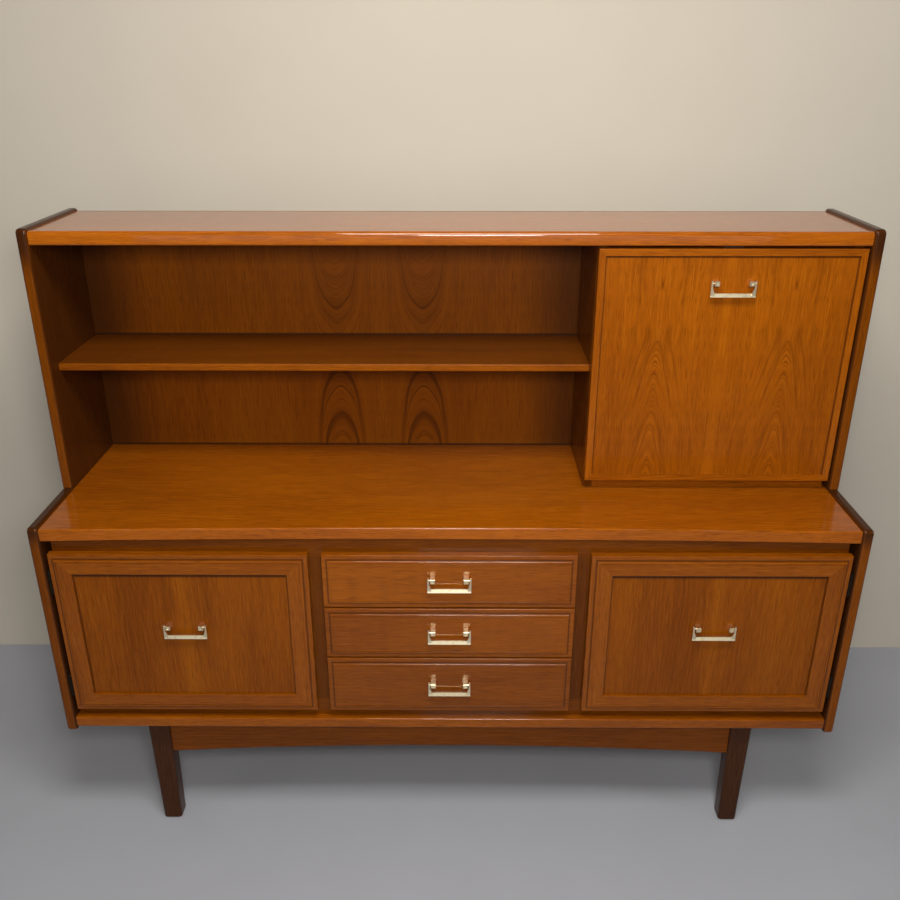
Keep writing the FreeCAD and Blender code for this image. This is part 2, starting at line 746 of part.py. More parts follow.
def flat_link(reach, width):
    """Flat bar with round ends, from the stay's pivot towards Y."""
    start = Vector(stay_inner, 0, 0)
    end = Vector(stay_inner, reach, 0)
    bar = box((stay_inner, stay_outer), (0, reach), about(0, width))
    ends = [cylinder(width / 2, point, point + ALONG_X * STAY_THICKNESS) for point in (start, end)]
    return bar.fuse(ends).removeSplitter()


def flap_stay():
    """Slotted arm that turns on the bracket and slides on the stud."""
    arm = flat_link(stay_open + SLOT_SPARE + STAY_END - STAY_WIDTH / 2 + STUD_RADIUS, STAY_WIDTH)
    slot = flat_link(stay_open + SLOT_SPARE - stay_closed + SLOT_SPARE, 2 * (STUD_RADIUS + SLOT_PLAY))
    slot.translate(ALONG_Y * (stay_closed - SLOT_SPARE))
    eye_ends = [Vector(x, 0, 0) for x in (stay_inner - OVERRUN, stay_outer + OVERRUN)]
    eye = cylinder(STAY_PIN_RADIUS + PIN_PLAY, *eye_ends)
    arm = arm.cut([slot, eye])
    arm.rotate(Vector(0, 0, 0), ALONG_X, math.degrees(stay_tilt))
    arm.translate(Vector(0, stay_pivot_y, stay_pivot_z))
    return arm


def stay_stud():
    """Headed stud on the cabinet side, through the slot of the stay."""
    def disc(radius, outer, inner):
        return cylinder(radius, Vector(inner, stud_y, stud_z), Vector(outer, stud_y, stud_z))
    head_outer = stay_inner - STAY_SIDE_PLAY
    head_inner = head_outer - STUD_HEAD_THICKNESS
    shoulder = disc(STUD_HEAD_RADIUS, cabinet_right, stay_outer + STAY_SIDE_PLAY)
    head = disc(STUD_HEAD_RADIUS, head_outer, head_inner)
    return shoulder.fuse([disc(STUD_RADIUS, cabinet_right, head_inner), head])


# Leg frame

def rounded_square(size, level, radius):
    """Square outline with rounded corners, about the Z axis."""
    square = box(about(0, size), about(0, size), (level, level + size))
    upright = [edge for edge in square.Edges if edge.BoundBox.ZLength > size / 2]
    rounded = square.makeFillet(radius, upright)
    return next(face.OuterWire for face in rounded.Faces if abs(face.BoundBox.ZMax - level) < HAIR)


def leg(x, y):
    """Square leg that tapers to an eased foot."""
    sections = ((LEG_FOOT - 2 * FOOT_EASE, 0, LEG_ROUND - FOOT_EASE), (LEG_FOOT, FOOT_EASE, LEG_ROUND),
                (LEG_TOP, LEG_HEIGHT, LEG_ROUND))
    outlines = [rounded_square(*section) for section in sections]
    foot = Part.makeLoft(outlines[:2], True, True)
    shaft = Part.makeLoft(outlines[1:], True, True)
    post = foot.fuse(shaft)
    post.translate(Vector(x, y, 0))
    return post


leg_front_y = LEG_SETBACK + LEG_TOP / 2
leg_back_y = BASE_DEPTH - LEG_SETBACK - LEG_TOP / 2
leg_places = [(side * LEG_CENTRE_X, y) for y in (leg_front_y, leg_back_y) for side in SIDES]


def between_legs(shape):
    """A rail whose ends follow the taper of the legs."""
    for x, y in leg_places:
        shape = shape.cut(leg(x, y))
    return max(shape.Solids, key=lambda solid: solid.Volume)


def front_apron():
    """Board with a low arch along its lower edge."""
    reach = LEG_CENTRE_X
    top, low = LEG_HEIGHT, LEG_HEIGHT - APRON_END_HEIGHT
    front = LEG_SETBACK + APRON_SETBACK
    spring = reach - LEG_TOP / 2
    points = [Vector(x, front, z) for x, z in ((reach, top), (-reach, top), (-reach, low), (-spring, low))]
    edges = [Part.makeLine(a, b) for a, b in zip(points, points[1:])]
    arch = Part.Arc(points[-1], Vector(0, front, low + APRON_ARCH), Vector(spring, front, low)).toShape()
    spring_right, right_low = Vector(spring, front, low), Vector(reach, front, low)
    edges += [arch, Part.makeLine(spring_right, right_low), Part.makeLine(right_low, points[0])]
    board = Part.Face(Part.Wire(edges)).extrude(ALONG_Y * APRON_THICKNESS)
    arris = [edge for edge in edges_in(board, "Y", front) if edge.Curve.TypeId == "Part::GeomCircle"]
    return between_legs(board.makeFillet(APRON_ARRIS, arris))


def frame_rails():
    """Back rail and two side rails under the floor board."""
    zs = (LEG_HEIGHT - FRAME_RAIL_HEIGHT, LEG_HEIGHT)
    back_ys = about(leg_back_y, FRAME_RAIL_THICKNESS)
    rails = [box((-LEG_CENTRE_X, LEG_CENTRE_X), back_ys, zs)]
    for side in SIDES:
        rails.append(box(about(side * LEG_CENTRE_X, FRAME_RAIL_THICKNESS), (leg_front_y, leg_back_y), zs))
    return [between_legs(rail) for rail in rails]


# Handles

def posts(x, face, z):
    """Two square posts with a dimple in front and a bore for the bail's pin on the outer side."""
    front = face - POST_LENGTH
    pivot_y = front + PIVOT_SETBACK
    made = []
    for side in SIDES:
        centre = x + side * POST_SPACING / 2
        outer = centre + side * POST_SIZE / 2
        post = box(about(centre, POST_SIZE), (front, face), about(z, POST_SIZE))
        post = post.makeChamfer(POST_CHAMFER, edges_in(post, "Y", front))
        dimple = cylinder(DIMPLE_RADIUS, Vector(centre, front, z), Vector(centre, front + DIMPLE_DEPTH, z))
        bore = cylinder(BAIL_PIN + PIN_PLAY, Vector(outer, pivot_y, z),
                        Vector(outer - side * (BAIL_PIN_BITE + BAIL_ARM / 2), pivot_y, z))
        made.append(post.cut([dimple, bore]))
    return made


def prism(points, way):
    """Solid that a flat outline sweeps."""
    return Part.Face(Part.makePolygon(points + points[:1])).extrude(way)


def bail(x, face, z):
    """Bar with a sloped front, and at each end an arm that widens towards the bar, with its pin."""
    pivot_y = face - POST_LENGTH + PIVOT_SETBACK
    bar_low, bar_top = about(z - BAIL_DROP, BAIL_BAR)
    front, back = pivot_y + BAIL_ARM_DEPTH / 2 - BAIL_DEPTH, pivot_y + BAIL_ARM_DEPTH / 2
    start = x - BAIL_WIDTH / 2
    section = ((front, bar_low), (back, bar_low), (back, bar_top), (front + BAIL_SLOPE, bar_top))
    shape = prism([Vector(start, y, level) for y, level in section], ALONG_X * BAIL_WIDTH)
    for side in SIDES:
        outer = x + side * BAIL_WIDTH / 2
        arm_front = pivot_y - BAIL_ARM_DEPTH / 2
        outline = ((0, z + POST_SIZE / 2), (BAIL_ARM, z + POST_SIZE / 2), (BAIL_ARM, z - GUSSET_START),
                   (BAIL_GUSSET, bar_top), (BAIL_GUSSET, bar_low), (0, bar_low))
        corners = [Vector(outer - side * width, arm_front, level) for width, level in outline]
        arm = prism(corners, ALONG_Y * BAIL_ARM_DEPTH)
        pin_end = x + side * (POST_SPACING / 2 + POST_SIZE / 2 - BAIL_PIN_BITE)
        pin = cylinder(BAIL_PIN, Vector(outer, pivot_y, z), Vector(pin_end, pivot_y, z))
        shape = shape.fuse([arm, pin])
    return shape.removeSplitter()


# The whole

def main():
    full = (-side_inner, side_inner)
    front_corners = (base_side_low, base_side_top)
    for side, word in zip(SIDES, ("left", "right")):
        save("base_side_" + word, side_panel(side, 0, base_side_low, base_side_top, front_corners))
        save("hutch_side_" + word, side_panel(side, hutch_front, base_side_top, hutch_side_top,
                                              (hutch_side_top,)))
        save("carcass_end_" + word, carcass_end(side))
        save("partition_" + word, partition(side))
        save(word + "_door_frame", *door_frame(side))
        save(word + "_door_panel", door_panel(side))
        save(word + "_door_fittings", *door_fittings(side))
    save("base_top", base_top())
    save("base_floor", fronted_board(full, (board_front, back_front), (floor_low, floor_top),
                                     BOARD_ARRIS, BOARD_ARRIS))
    save("base_back", box(full, (back_front, back_front + BACK_THICKNESS), (floor_low, deck)))
    save("front_rails", *front_rails())
    save("front_stiles", *front_stiles())
    save("spacer_strips", *spacer_strips())
    save("cupboard_shelves", *cupboard_shelves())
    save("shelf_bearers", *shelf_bearers())
    save("drawer_runners", *drawer_runners())
    save("catches", *catches())
    save("hinge_plates", *hinge_plates())

    save("hutch_top", fronted_board(full, (roof_front, back_front), (roof_low, roof),
                                    NOSE_UPPER, NOSE_LOWER))
    save("hutch_back", box(full, (back_front, back_front + BACK_THICKNESS), (deck, roof)))
    save("hutch_partition", box((bay_right, cabinet_left), (cabinet_front, back_front), (deck, roof_low)))
    shelf_ys = (hutch_front + BAY_SHELF_SETBACK, back_front)
    shelf_zs = (bay_shelf_low, bay_shelf_low + BAY_SHELF_THICKNESS)
    save("bay_shelf", fronted_board((-side_inner, bay_right), shelf_ys, shelf_zs, BOARD_ARRIS, BOARD_ARRIS))
    save("cabinet_side", box((cabinet_right, cabinet_outer), (cabinet_front, back_front),
                             (cabinet_floor_top, roof_low)))
    save("cabinet_floor", cabinet_floor())
    save("cabinet_bearers", *cabinet_bearers())
    save("cabinet_shelf", cabinet_shelf())
    save("stay_stud", stay_stud())
    save("flap_frame", *flap_frame())
    save("flap_panel", flap_panel())
    save("flap_fittings", *flap_fittings())
    save("flap_stay", flap_stay())

    save("legs", *[leg(x, y) for x, y in leg_places])
    save("front_apron", front_apron())
    save("frame_rails", *frame_rails())
    for name, (low, height) in DRAWERS.items():
        save(name + "_front", drawer_front(low, height))
        save(name + "_box", *drawer_box(low, height))
    for name, place in HANDLES.items():
        save(name + "_posts", *posts(*place))
        save(name + "_bail", bail(*place))


os.makedirs("parts", exist_ok=True)
main()
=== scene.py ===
import math

import bpy
from mathutils import Matrix, Vector


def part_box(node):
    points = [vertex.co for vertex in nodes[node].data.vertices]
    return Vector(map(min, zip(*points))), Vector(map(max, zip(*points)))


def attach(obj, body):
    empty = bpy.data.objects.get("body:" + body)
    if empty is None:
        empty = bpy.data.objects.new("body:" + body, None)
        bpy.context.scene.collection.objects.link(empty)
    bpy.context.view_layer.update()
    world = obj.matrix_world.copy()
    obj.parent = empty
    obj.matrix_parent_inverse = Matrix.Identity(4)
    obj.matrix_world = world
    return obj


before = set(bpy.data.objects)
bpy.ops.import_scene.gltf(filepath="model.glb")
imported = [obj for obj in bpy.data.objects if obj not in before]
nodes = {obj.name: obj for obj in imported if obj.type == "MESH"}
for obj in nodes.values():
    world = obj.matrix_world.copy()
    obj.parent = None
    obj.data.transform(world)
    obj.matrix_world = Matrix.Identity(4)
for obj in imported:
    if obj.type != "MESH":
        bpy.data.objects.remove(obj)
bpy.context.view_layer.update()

# Places read from the frame, in metres

door_low, door_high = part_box("right_door_frame")
door_middle = (door_low.x + door_high.x) / 2
flap_low, flap_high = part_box("flap_frame")
flap_middle = (flap_low.x + flap_high.x) / 2
flap_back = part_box("flap_panel")[1].y
back_low, back_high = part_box("hutch_back")
base_back_low, base_back_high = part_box("base_back")
cabinet_floor_low, cabinet_floor_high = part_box("cabinet_floor")
stay_low, stay_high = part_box("flap_stay")
shelf_low, shelf_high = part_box("bay_shelf")
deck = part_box("base_top")[1].z
roof_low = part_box("hutch_top")[0].z
panelled = ("left_door", "right_door", "flap")
drawers = ("top_drawer", "middle_drawer", "bottom_drawer")
handles = panelled + drawers


# Shader maths: arithmetic on values adds Math nodes

class Value:
    """One number that varies over a surface."""

    def __init__(self, finish, socket):
        self.finish = finish
        self.socket = socket

    def _with(self, operation, *others):
        return self.finish.maths(operation, self, *others)

    def __add__(self, other):
        return self._with("ADD", other)

    __radd__ = __add__

    def __sub__(self, other):
        return self._with("SUBTRACT", other)

    def __rsub__(self, other):
        return self.finish.maths("SUBTRACT", other, self)

    def __mul__(self, other):
        return self._with("MULTIPLY", other)

    __rmul__ = __mul__

    def __pow__(self, other):
        return self._with("POWER", other)

    def __abs__(self):
        return self._with("ABSOLUTE")

    def above(self, other):
        return self._with("GREATER_THAN", other)

    def below(self, other):
        return self._with("LESS_THAN", other)

    def most(self, other):
        return self._with("MAXIMUM", other)

    def root(self):
        return self._with("SQRT")


class Finish:
    """One material and the calls that add nodes to it."""

    def __init__(self, name):
        self.material = bpy.data.materials.new(name)
        self.material.use_nodes = True
        self.tree = self.material.node_tree
        self.shader = self.tree.nodes["Principled BSDF"]
        self.place = None

    def node(self, kind, settings=None, **inputs):
        """A node of a type, with its settings made first and then its sockets fed."""
        made = self.tree.nodes.new(kind)
        for name, value in (settings or {}).items():
            setattr(made, name, value)
        for name, value in inputs.items():
            self.feed(made.inputs[name.replace("_", " ")], value)
        return made

    def feed(self, socket, value):
        if isinstance(value, Value):
            value = value.socket
        if isinstance(value, bpy.types.NodeSocket):
            self.tree.links.new(value, socket)
        else:
            socket.default_value = value

    def maths(self, operation, *values):
        made = self.node("ShaderNodeMath", {"operation": operation})
        for socket, value in zip(made.inputs, values):
            self.feed(socket, value)
        return Value(self, made.outputs[0])

    def parts_of(self, vector):
        split = self.node("ShaderNodeSeparateXYZ", Vector=vector)
        return [Value(self, split.outputs[i]) for i in range(3)]

    def position(self):
        """X, Y and Z in metres, in the frame of the whole."""
        if self.place is None:
            self.place = self.parts_of(self.node("ShaderNodeTexCoord").outputs["Object"])
        return self.place

    def facing(self):
        """How far a surface faces along X, Y and Z."""
        return self.parts_of(self.node("ShaderNodeTexCoord").outputs["Normal"])

    def noise(self, x, y, z, detail=2.0, roughness=0.5, distortion=0.0):
        where = self.node("ShaderNodeCombineXYZ", X=x, Y=y, Z=z)
        made = self.node("ShaderNodeTexNoise", Vector=where.outputs[0], Scale=1.0, Detail=detail,
                         Roughness=roughness, Distortion=distortion)
        return Value(self, made.outputs["Fac"])

    def spread(self, value, low, high, to_low=0.0, to_high=1.0):
        """A value eased from one range to another, and held at its ends."""
        made = self.node("ShaderNodeMapRange", {"interpolation_type": "SMOOTHSTEP"}, Value=value)
        for name, number in (("From Min", low), ("From Max", high), ("To Min", to_low), ("To Max", to_high)):
            made.inputs[name].default_value = number
        return Value(self, made.outputs[0])

    def ramp(self, value, *stops):
        """Colour for a value, from stops of a place and a colour."""
        made = self.node("ShaderNodeValToRGB", Fac=value)
        elements = made.color_ramp.elements
        for element, (place, colour) in zip(elements, (stops[0], stops[-1])):
            element.position = place
            element.color = (*colour, 1.0)
        for place, colour in stops[1:-1]:
            elements.new(place).color = (*colour, 1.0)
        return made.outputs["Color"]

    def mix(self, factor, first, second, blend="MIX"):
        made = self.node("ShaderNodeMix", {"data_type": "RGBA", "blend_type": blend})
        colours = [socket for socket in made.inputs if socket.type == "RGBA"]
        self.feed(made.inputs[0], factor)
        for socket, colour in zip(colours, (first, second)):
            self.feed(socket, (*colour, 1.0) if isinstance(colour, tuple) else colour)
        return next(socket for socket in made.outputs if socket.type == "RGBA")

    def bump(self, height, strength, distance):
        made = self.node("ShaderNodeBump", Height=height, Strength=strength, Distance=distance)
        self.feed(self.shader.inputs["Normal"], made.outputs[0])

    def set(self, **inputs):
        for name, value in inputs.items():
            self.feed(self.shader.inputs[name.replace("_", " ")], value)


# Wood: the colours of the lacquered boards, dark lines first, as linear red, green and blue

SHOW_TONES = ((0.068, 0.0145, 0.0008), (0.178, 0.041, 0.0012),
              (0.265, 0.067, 0.0016), (0.365, 0.106, 0.0026))
DARK_TONES = ((0.016, 0.0050, 0.0015), (0.036, 0.0110, 0.0034),
              (0.056, 0.0175, 0.0052), (0.085, 0.028, 0.0085))
PLY_TONES = ((0.20, 0.105, 0.045), (0.30, 0.17, 0.080), (0.38, 0.23, 0.115), (0.45, 0.29, 0.155))
BOX_TONES = ((0.17, 0.075, 0.025), (0.26, 0.125, 0.045), (0.34, 0.175, 0.070), (0.41, 0.23, 0.10))
TONE_PLACES = (0.26, 0.42, 0.54, 0.74)
# Dark for the painted shade lines and shades, for the stained top edges of the sides and for the joints
SHADE_AND_DARK_COLOUR = (0.030, 0.0095, 0.0030)

# Grain: scales across the rings, shares of the tone, and how far the lines stray

BAND_SCALE = 30
LINE_SCALE = 330
LEVEL_SCALE = 26
FIBRE_SCALE = 900
PORE_SCALE = 1500
BAND_SHARE = 0.12
LINE_SHARE = 0.22
FIBRE_SHARE = 0.28
CLOUD_SHARE = 0.22
LEAST_TONE = 0.08
PORE_SHARE = 0.50
RING_TILT = 0.25
SWAY = 0.020
WANDER = 0.007
LATE_WOOD = 0.022
STRAIGHT_FIGURE = 0.10

# Leaves of the flat-cut veneers, in metres from the middle of a leaf

LONGEST_REACH = 0.10
ARCH_FADE = (0.025, 0.080)
FIGURE_FADE = (0.030, 0.065)
FIGURE_BESIDE = 0.06

# Lacquer

COAT_ROUGHNESS = 0.05
SHINE_UNDER_COAT = 0.08
PORE_DEPTH = 0.0002
FRONT_COAT = 0.35

# Lines of painted shade, painted shades and other sizes on the boards, in metres

PLY_DEPTH = 0.004
SHADE_LINE_CORE = 0.002
SHADE_LINE_WIDTH = 0.007
SHADE_WIDTH = 0.14
RIM_WIDTH = 0.004
RIM_CORE = 0.0005
GROOVE_CORE = 0.0006
GROOVE_WIDTH = 0.0022
GROOVE_INSET = 0.009
ROOF_SHADE_DEPTH = 0.060
DECK_SHADE_DEPTH = 0.045
BASE_PROUD = 0.006


# Tones scaled by a brightness factor that is partly painted light and shade: lit and shaded copies of one
# wood
def tones_in_painted_light(tones, light):
    return tuple(tuple(part * light for part in tone) for tone in tones)


def straight(finish, along, across, depth):
    """Rings of a quarter-cut board, parallel to the grain, and how much of their figure shows."""
    return across + RING_TILT * depth, STRAIGHT_FIGURE


def leaf(centre, tip, slope, turn, one_way, strength):
    """Rings of a flat-cut leaf: arches along the grain whose tips have a radius. They turn at a height."""
    def rings(finish, along, across, depth):
        side = across - centre
        reach = along - turn
        if one_way:
            reach = finish.maths("MINIMUM", reach, LONGEST_REACH)
        else:
            reach = -1.0 * abs(reach)
        arched = finish.spread(abs(side), *ARCH_FADE, slope, 0.0)
        ring = (side ** 2 + tip * tip).root() + arched * reach + RING_TILT * depth
        return ring, finish.spread(abs(side), *FIGURE_FADE, strength, FIGURE_BESIDE)
    return rings


def grain(finish, along, across, depth, rings=straight, seed=0.0, tones=SHOW_TONES, light=1.0, band=None):
    """Colour, fibre and pores of a board whose grain runs one way. A band is a lighter strip along it.
    Painted light scales its tones: partly painted light and shade, partly the board's own tone.
    """
    tones = tones_in_painted_light(tones, light)
    sway = finish.noise(along * 1.3 + seed, across * 4, depth * 4 + seed, detail=2)
    wander = finish.noise(along * 9 + seed, across * 22, depth * 22, detail=3)
    bent = across + (sway - 0.5) * SWAY + (wander - 0.5) * WANDER
    ring, figure = rings(finish, along, bent, depth)
    bands = finish.noise(ring * BAND_SCALE + seed, seed, along * 1.0, detail=2)
    lines = finish.noise(ring * LINE_SCALE + seed, seed + 3, along * 8, detail=3, roughness=0.65)
    level = finish.noise(ring * LEVEL_SCALE + seed, seed + 9, along * 1.5, detail=1)
    fibre = finish.noise(ring * FIBRE_SCALE, along * 18 + seed, depth * FIBRE_SCALE, detail=2)
    pores = finish.noise(ring * PORE_SCALE, along * 36 + seed, depth * PORE_SCALE, detail=1)
    cloud = finish.noise(along * 2.0 + seed, across * 6, depth * 6, detail=2)
    tone = bands * BAND_SHARE + lines * LINE_SHARE + fibre * FIBRE_SHARE + cloud * CLOUD_SHARE + LEAST_TONE
    if band is not None:
        centre, half_width, lift = band
        tone = tone + finish.spread(abs(across - centre), 0.0, half_width, lift, 0.0)
    colour = finish.ramp(tone, *zip(TONE_PLACES, tones))
    late_wood = finish.spread(abs(level - 0.5), 0.0, LATE_WOOD, 1.0, 0.0)
    colour = finish.mix(late_wood * figure, colour, tones[0])
    ticks = finish.spread(pores, 0.56, 0.68)
    return finish.mix(ticks * PORE_SHARE, colour, tones[0]), fibre, ticks


def lacquer(finish, colour, fibre, ticks, roughness=0.20, coat=0.14):
    """Gloss lacquer that has sunk a little into the pores."""
    finish.set(Base_Color=colour, Roughness=finish.spread(fibre, 0.3, 0.7, roughness, roughness + 0.08),
               Coat_Weight=coat, Coat_Roughness=COAT_ROUGHNESS, Specular_IOR_Level=SHINE_UNDER_COAT)
    finish.bump(fibre * 0.6 - ticks, 0.10, PORE_DEPTH)


def past(x, z, bounds):
    """How far a point lies outside a rectangle given by its middle and half sizes."""
    middle_x, middle_z, half_x, half_z = bounds
    return (abs(x - middle_x) - half_x).most(abs(z - middle_z) - half_z)


def ahead_only(finish):
    """One on what faces the front or sideways, and none on the rear face."""
    return finish.spread(finish.facing()[1], 0.3, 0.7, 1.0, 0.0)


def groove_with_painted_shade(finish, colour, outside):
    """A fine dark line of painted shade round a board, where its edge steps down."""
    groove_shade = finish.spread(abs(outside), GROOVE_CORE, GROOVE_WIDTH, 0.6, 0.0)
    return finish.mix(groove_shade * ahead_only(finish), colour, SHADE_AND_DARK_COLOUR)


def dark_tops_and_painted_shade(finish, colour, x, z):
    """Dark-stained top edges of the outer sides, with painted shade on their inner faces and on their front
    edges just under the roof and the deck.
    """
    turn_x, turn_y, turn_z = finish.facing()
    raised = finish.spread(turn_z, 0.30, 0.80)
    ahead = finish.spread(turn_y, -0.9, -0.5, 1.0, 0.0)
    # Painted shade on the front edges just under the roof and the deck
    high = finish.spread(z, roof_low - ROOF_SHADE_DEPTH, roof_low)
    high = high.most(finish.spread(z, deck - DECK_SHADE_DEPTH, deck) * z.below(deck + BASE_PROUD))
    # Painted shade on the inner faces, stronger below the deck
    inward_shade = finish.spread(turn_x * x, -0.6, -0.3, 1.0, 0.0) * (0.80 + 0.20 * z.below(deck))
    return finish.mix(raised.most(ahead * high).most(inward_shade) * 0.88, colour, SHADE_AND_DARK_COLOUR)


def board(name, direction, rings=straight, fold=None, dark_tops_and_shade=False, top_shade=0.0, rim=None, groove=None,
          **options):
    """A lacquered board. The direction is the axis of the grain, and a fold is the middle of a book match.
    A rim is the opening of a frame round it, where a dark line runs that is partly the joint and partly
    painted shade. A groove is a fine line of painted shade round it."""
    finish = Finish(name)
    x, y, z = finish.position()
    along, across, depth = {"x": (x, z, y), "y": (y, x, z), "z": (z, x, y), "side": (z, y, x),
                            "top": (x, y, z)}[direction]
    if fold is not None:
        across = abs(across - fold)
    gloss = {key: options.pop(key) for key in ("roughness", "coat") if key in options}
    colour, fibre, ticks = grain(finish, along, across, depth, rings, **options)
    if rim is not None:
        # A dark line at the panel's opening: partly the joint, partly painted shade
        joint_shade = finish.spread(past(x, z, rim), -RIM_WIDTH, -RIM_CORE, 0.0, 0.8)
        colour = finish.mix(joint_shade * ahead_only(finish), colour, SHADE_AND_DARK_COLOUR)
    if groove is not None:
        colour = groove_with_painted_shade(finish, colour, past(x, z, groove))
    # Painted shade on faces that point up, for the shelf tops under the roof
    if top_shade:
        raised = finish.spread(finish.facing()[2], 0.6, 0.95, 0.0, top_shade)
        colour = finish.mix(raised, colour, SHADE_AND_DARK_COLOUR)
    # Dark-stained top edges and painted shade on the outer sides
    if dark_tops_and_shade:
        colour = dark_tops_and_painted_shade(finish, colour, x, z)
    lacquer(finish, colour, fibre, ticks, **gloss)
    return finish.material


def opening(low, high, edge, hidden=0.0, sunk=0.0):
    """Middle and half sizes of a rectangle inside a frame. Its top and its bottom can both lie lower."""
    middle, half = (low + high) / 2, (high - low) / 2
    return middle.x, middle.z - (hidden + sunk) / 2, half.x - edge, half.z - edge - (hidden - sunk) / 2


def mitred_board(name, bounds, mirrored=False, groove=None, **options):
    """The members of a mitred frame: the grain runs along each of them and turns at the mitres."""
    middle_x, middle_z, half_width, half_height = bounds
    finish = Finish(name)
    x, y, z = finish.position()
    if mirrored:
        x = abs(x)
    to_side = half_width - abs(x - middle_x)
    to_end = half_height - abs(z - middle_z)
    upright = to_side.below(to_end)
    along = x + (z - x) * upright
    across = z + (x - z) * upright
    colour, fibre, ticks = grain(finish, along, across, y, **options)
    # The groove line is painted shade at the step round the bead
    if groove is not None:
        inner = (middle_x, middle_z, half_width - groove, half_height - groove)
        colour = groove_with_painted_shade(finish, colour, past(x, z, inner))
    lacquer(finish, colour, fibre, ticks, coat=FRONT_COAT)
    return finish.material


def backed_board(name, rings, fold, face, plain_behind, painted_shades=(), **options):
    """A veneered back panel with painted shade along the boards that meet it and towards its ends, whose rear
    face is plain ply.
    """
    finish = Finish(name)
    x, y, z = finish.position()
    colour, fibre, ticks = grain(finish, z, abs(x - fold), y, rings, **options)
    # Painted shade: thin lines where boards meet the back, wide shades towards the ends
    for axis, place, width, strength in painted_shades:
        off = abs((x if axis == "x" else z) - place)
        colour = finish.mix(finish.spread(off, SHADE_LINE_CORE, width, strength, 0.0), colour, SHADE_AND_DARK_COLOUR)
    ply = grain(finish, x, z, y, seed=31.0, tones=PLY_TONES)[0]
    behind = y.above(face + plain_behind)
    lacquer(finish, finish.mix(behind, colour, ply), fibre, ticks, coat=0.0)
    finish.set(Roughness=finish.spread(behind, 0.0, 1.0, 0.40, 0.62))
    return finish.material


# Metals

def metal(name, colour, worn, roughness):
    """Lacquered or polished metal with faint tarnish and fine scratches."""
    finish = Finish(name)
    x, y, z = finish.position()
    tarnish = finish.noise(x * 160, y * 160, z * 160, detail=3)
    scratch = finish.noise(x * 900, y * 2500, z * 2500, detail=1)
    finish.set(Base_Color=finish.mix(finish.spread(tarnish, 0.45, 0.75), colour, worn), Metallic=1.0,
               Roughness=finish.spread(tarnish * 0.7 + scratch * 0.3, 0.3, 0.7, roughness, roughness + 0.12))
    finish.bump(scratch, 0.05, 0.00005)
    return finish.material


def dress(material, *names):
    """Give each CAD node of the names one material."""
    for name in names:
        nodes[name].data.materials[0] = material


# Finishes of the pieces, with the places of their figure in metres

FOLD_OF_BACK = -0.147
LEAF_OF_BACK = 0.088
WAIST_OF_BACK = 0.966
LEAF_OF_FLAP = 0.117
RIM_SUNK = 0.006
DOOR_EDGE = 0.040
DOOR_HIDDEN = 0.005
FLAP_EDGE = 0.0125
FLAP_HIDDEN = 0.0012
TURN_OF_FLAP = 0.925

back_leaf = leaf(LEAF_OF_BACK, 0.022, 0.42, WAIST_OF_BACK, one_way=False, strength=0.68)
flap_leaf = leaf(LEAF_OF_FLAP, 0.012, 0.16, TURN_OF_FLAP, one_way=True, strength=0.25)

# The brightness factors below are partly painted light and shade, partly each piece's own tone: brighter deck
# and roof, darker rails, stiles and inner faces
dress(board("deck_board", "top", seed=2.0, coat=0.5, light=1.25), "base_top")
dress(board("roof_board", "top", seed=5.0, coat=0.85, light=1.4), "hutch_top")
# The shelf tops get painted shade
dress(board("shelf_board", "top", seed=8.0, roughness=0.36, coat=0.0, top_shade=0.45, light=0.95), "bay_shelf",
      "cabinet_shelf", "cupboard_shelves")
dress(board("floor_board", "top", seed=11.0, coat=0.4), "base_floor", "cabinet_floor", "cabinet_bearers")
dress(board("rail_board", "x", seed=14.0, light=0.54), "front_rails")
dress(board("apron_board", "x", seed=15.0, light=0.70), "front_apron")
# The drawer fronts darken lower down: a painted falloff of the light
for number, name in enumerate(drawers):
    groove = opening(*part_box(name + "_front"), GROOVE_INSET)
    dress(board(name + "_wood", "x", seed=17.0 + number, groove=groove, coat=FRONT_COAT,
                light=0.95 - 0.06 * number), name + "_front")
dress(board("stile_board", "z", seed=20.0, light=0.44), "front_stiles")
dress(board("inner_board", "side", seed=23.0, light=0.50), "hutch_partition", "cabinet_side",
      "partition_left", "partition_right", "carcass_end_left", "carcass_end_right")
# The outer sides get dark-stained top edges and painted shade on their inner faces and under the boards above
dress(board("side_board", "side", seed=23.0, dark_tops_and_shade=True, light=0.66),
      "base_side_left", "base_side_right", "hutch_side_left", "hutch_side_right")
dress(mitred_board("door_frame_wood", opening(door_low, door_high, 0.0), mirrored=True, groove=GROOVE_INSET,
                   seed=26.0, light=0.88), "left_door_frame", "right_door_frame")
dress(mitred_board("flap_frame_wood", opening(flap_low, flap_high, 0.0), seed=29.0, light=1.12), "flap_frame")
left_rim = opening(*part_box("left_door_frame"), DOOR_EDGE, DOOR_HIDDEN, RIM_SUNK)
right_rim = opening(door_low, door_high, DOOR_EDGE, DOOR_HIDDEN, RIM_SUNK)
flap_rim = opening(flap_low, flap_high, FLAP_EDGE, FLAP_HIDDEN, RIM_SUNK)
dress(board("left_panel_wood", "z", seed=32.0, light=0.85, band=(-door_middle, 0.022, 0.10), rim=left_rim),
      "left_door_panel")
dress(board("right_panel_wood", "z", seed=35.0, light=0.85, band=(door_middle, 0.022, 0.07), rim=right_rim),
      "right_door_panel")
dress(board("flap_panel_wood", "z", flap_leaf, fold=flap_middle, seed=38.0, light=1.10,
            band=(0.0, 0.018, 0.07), rim=flap_rim), "flap_panel")
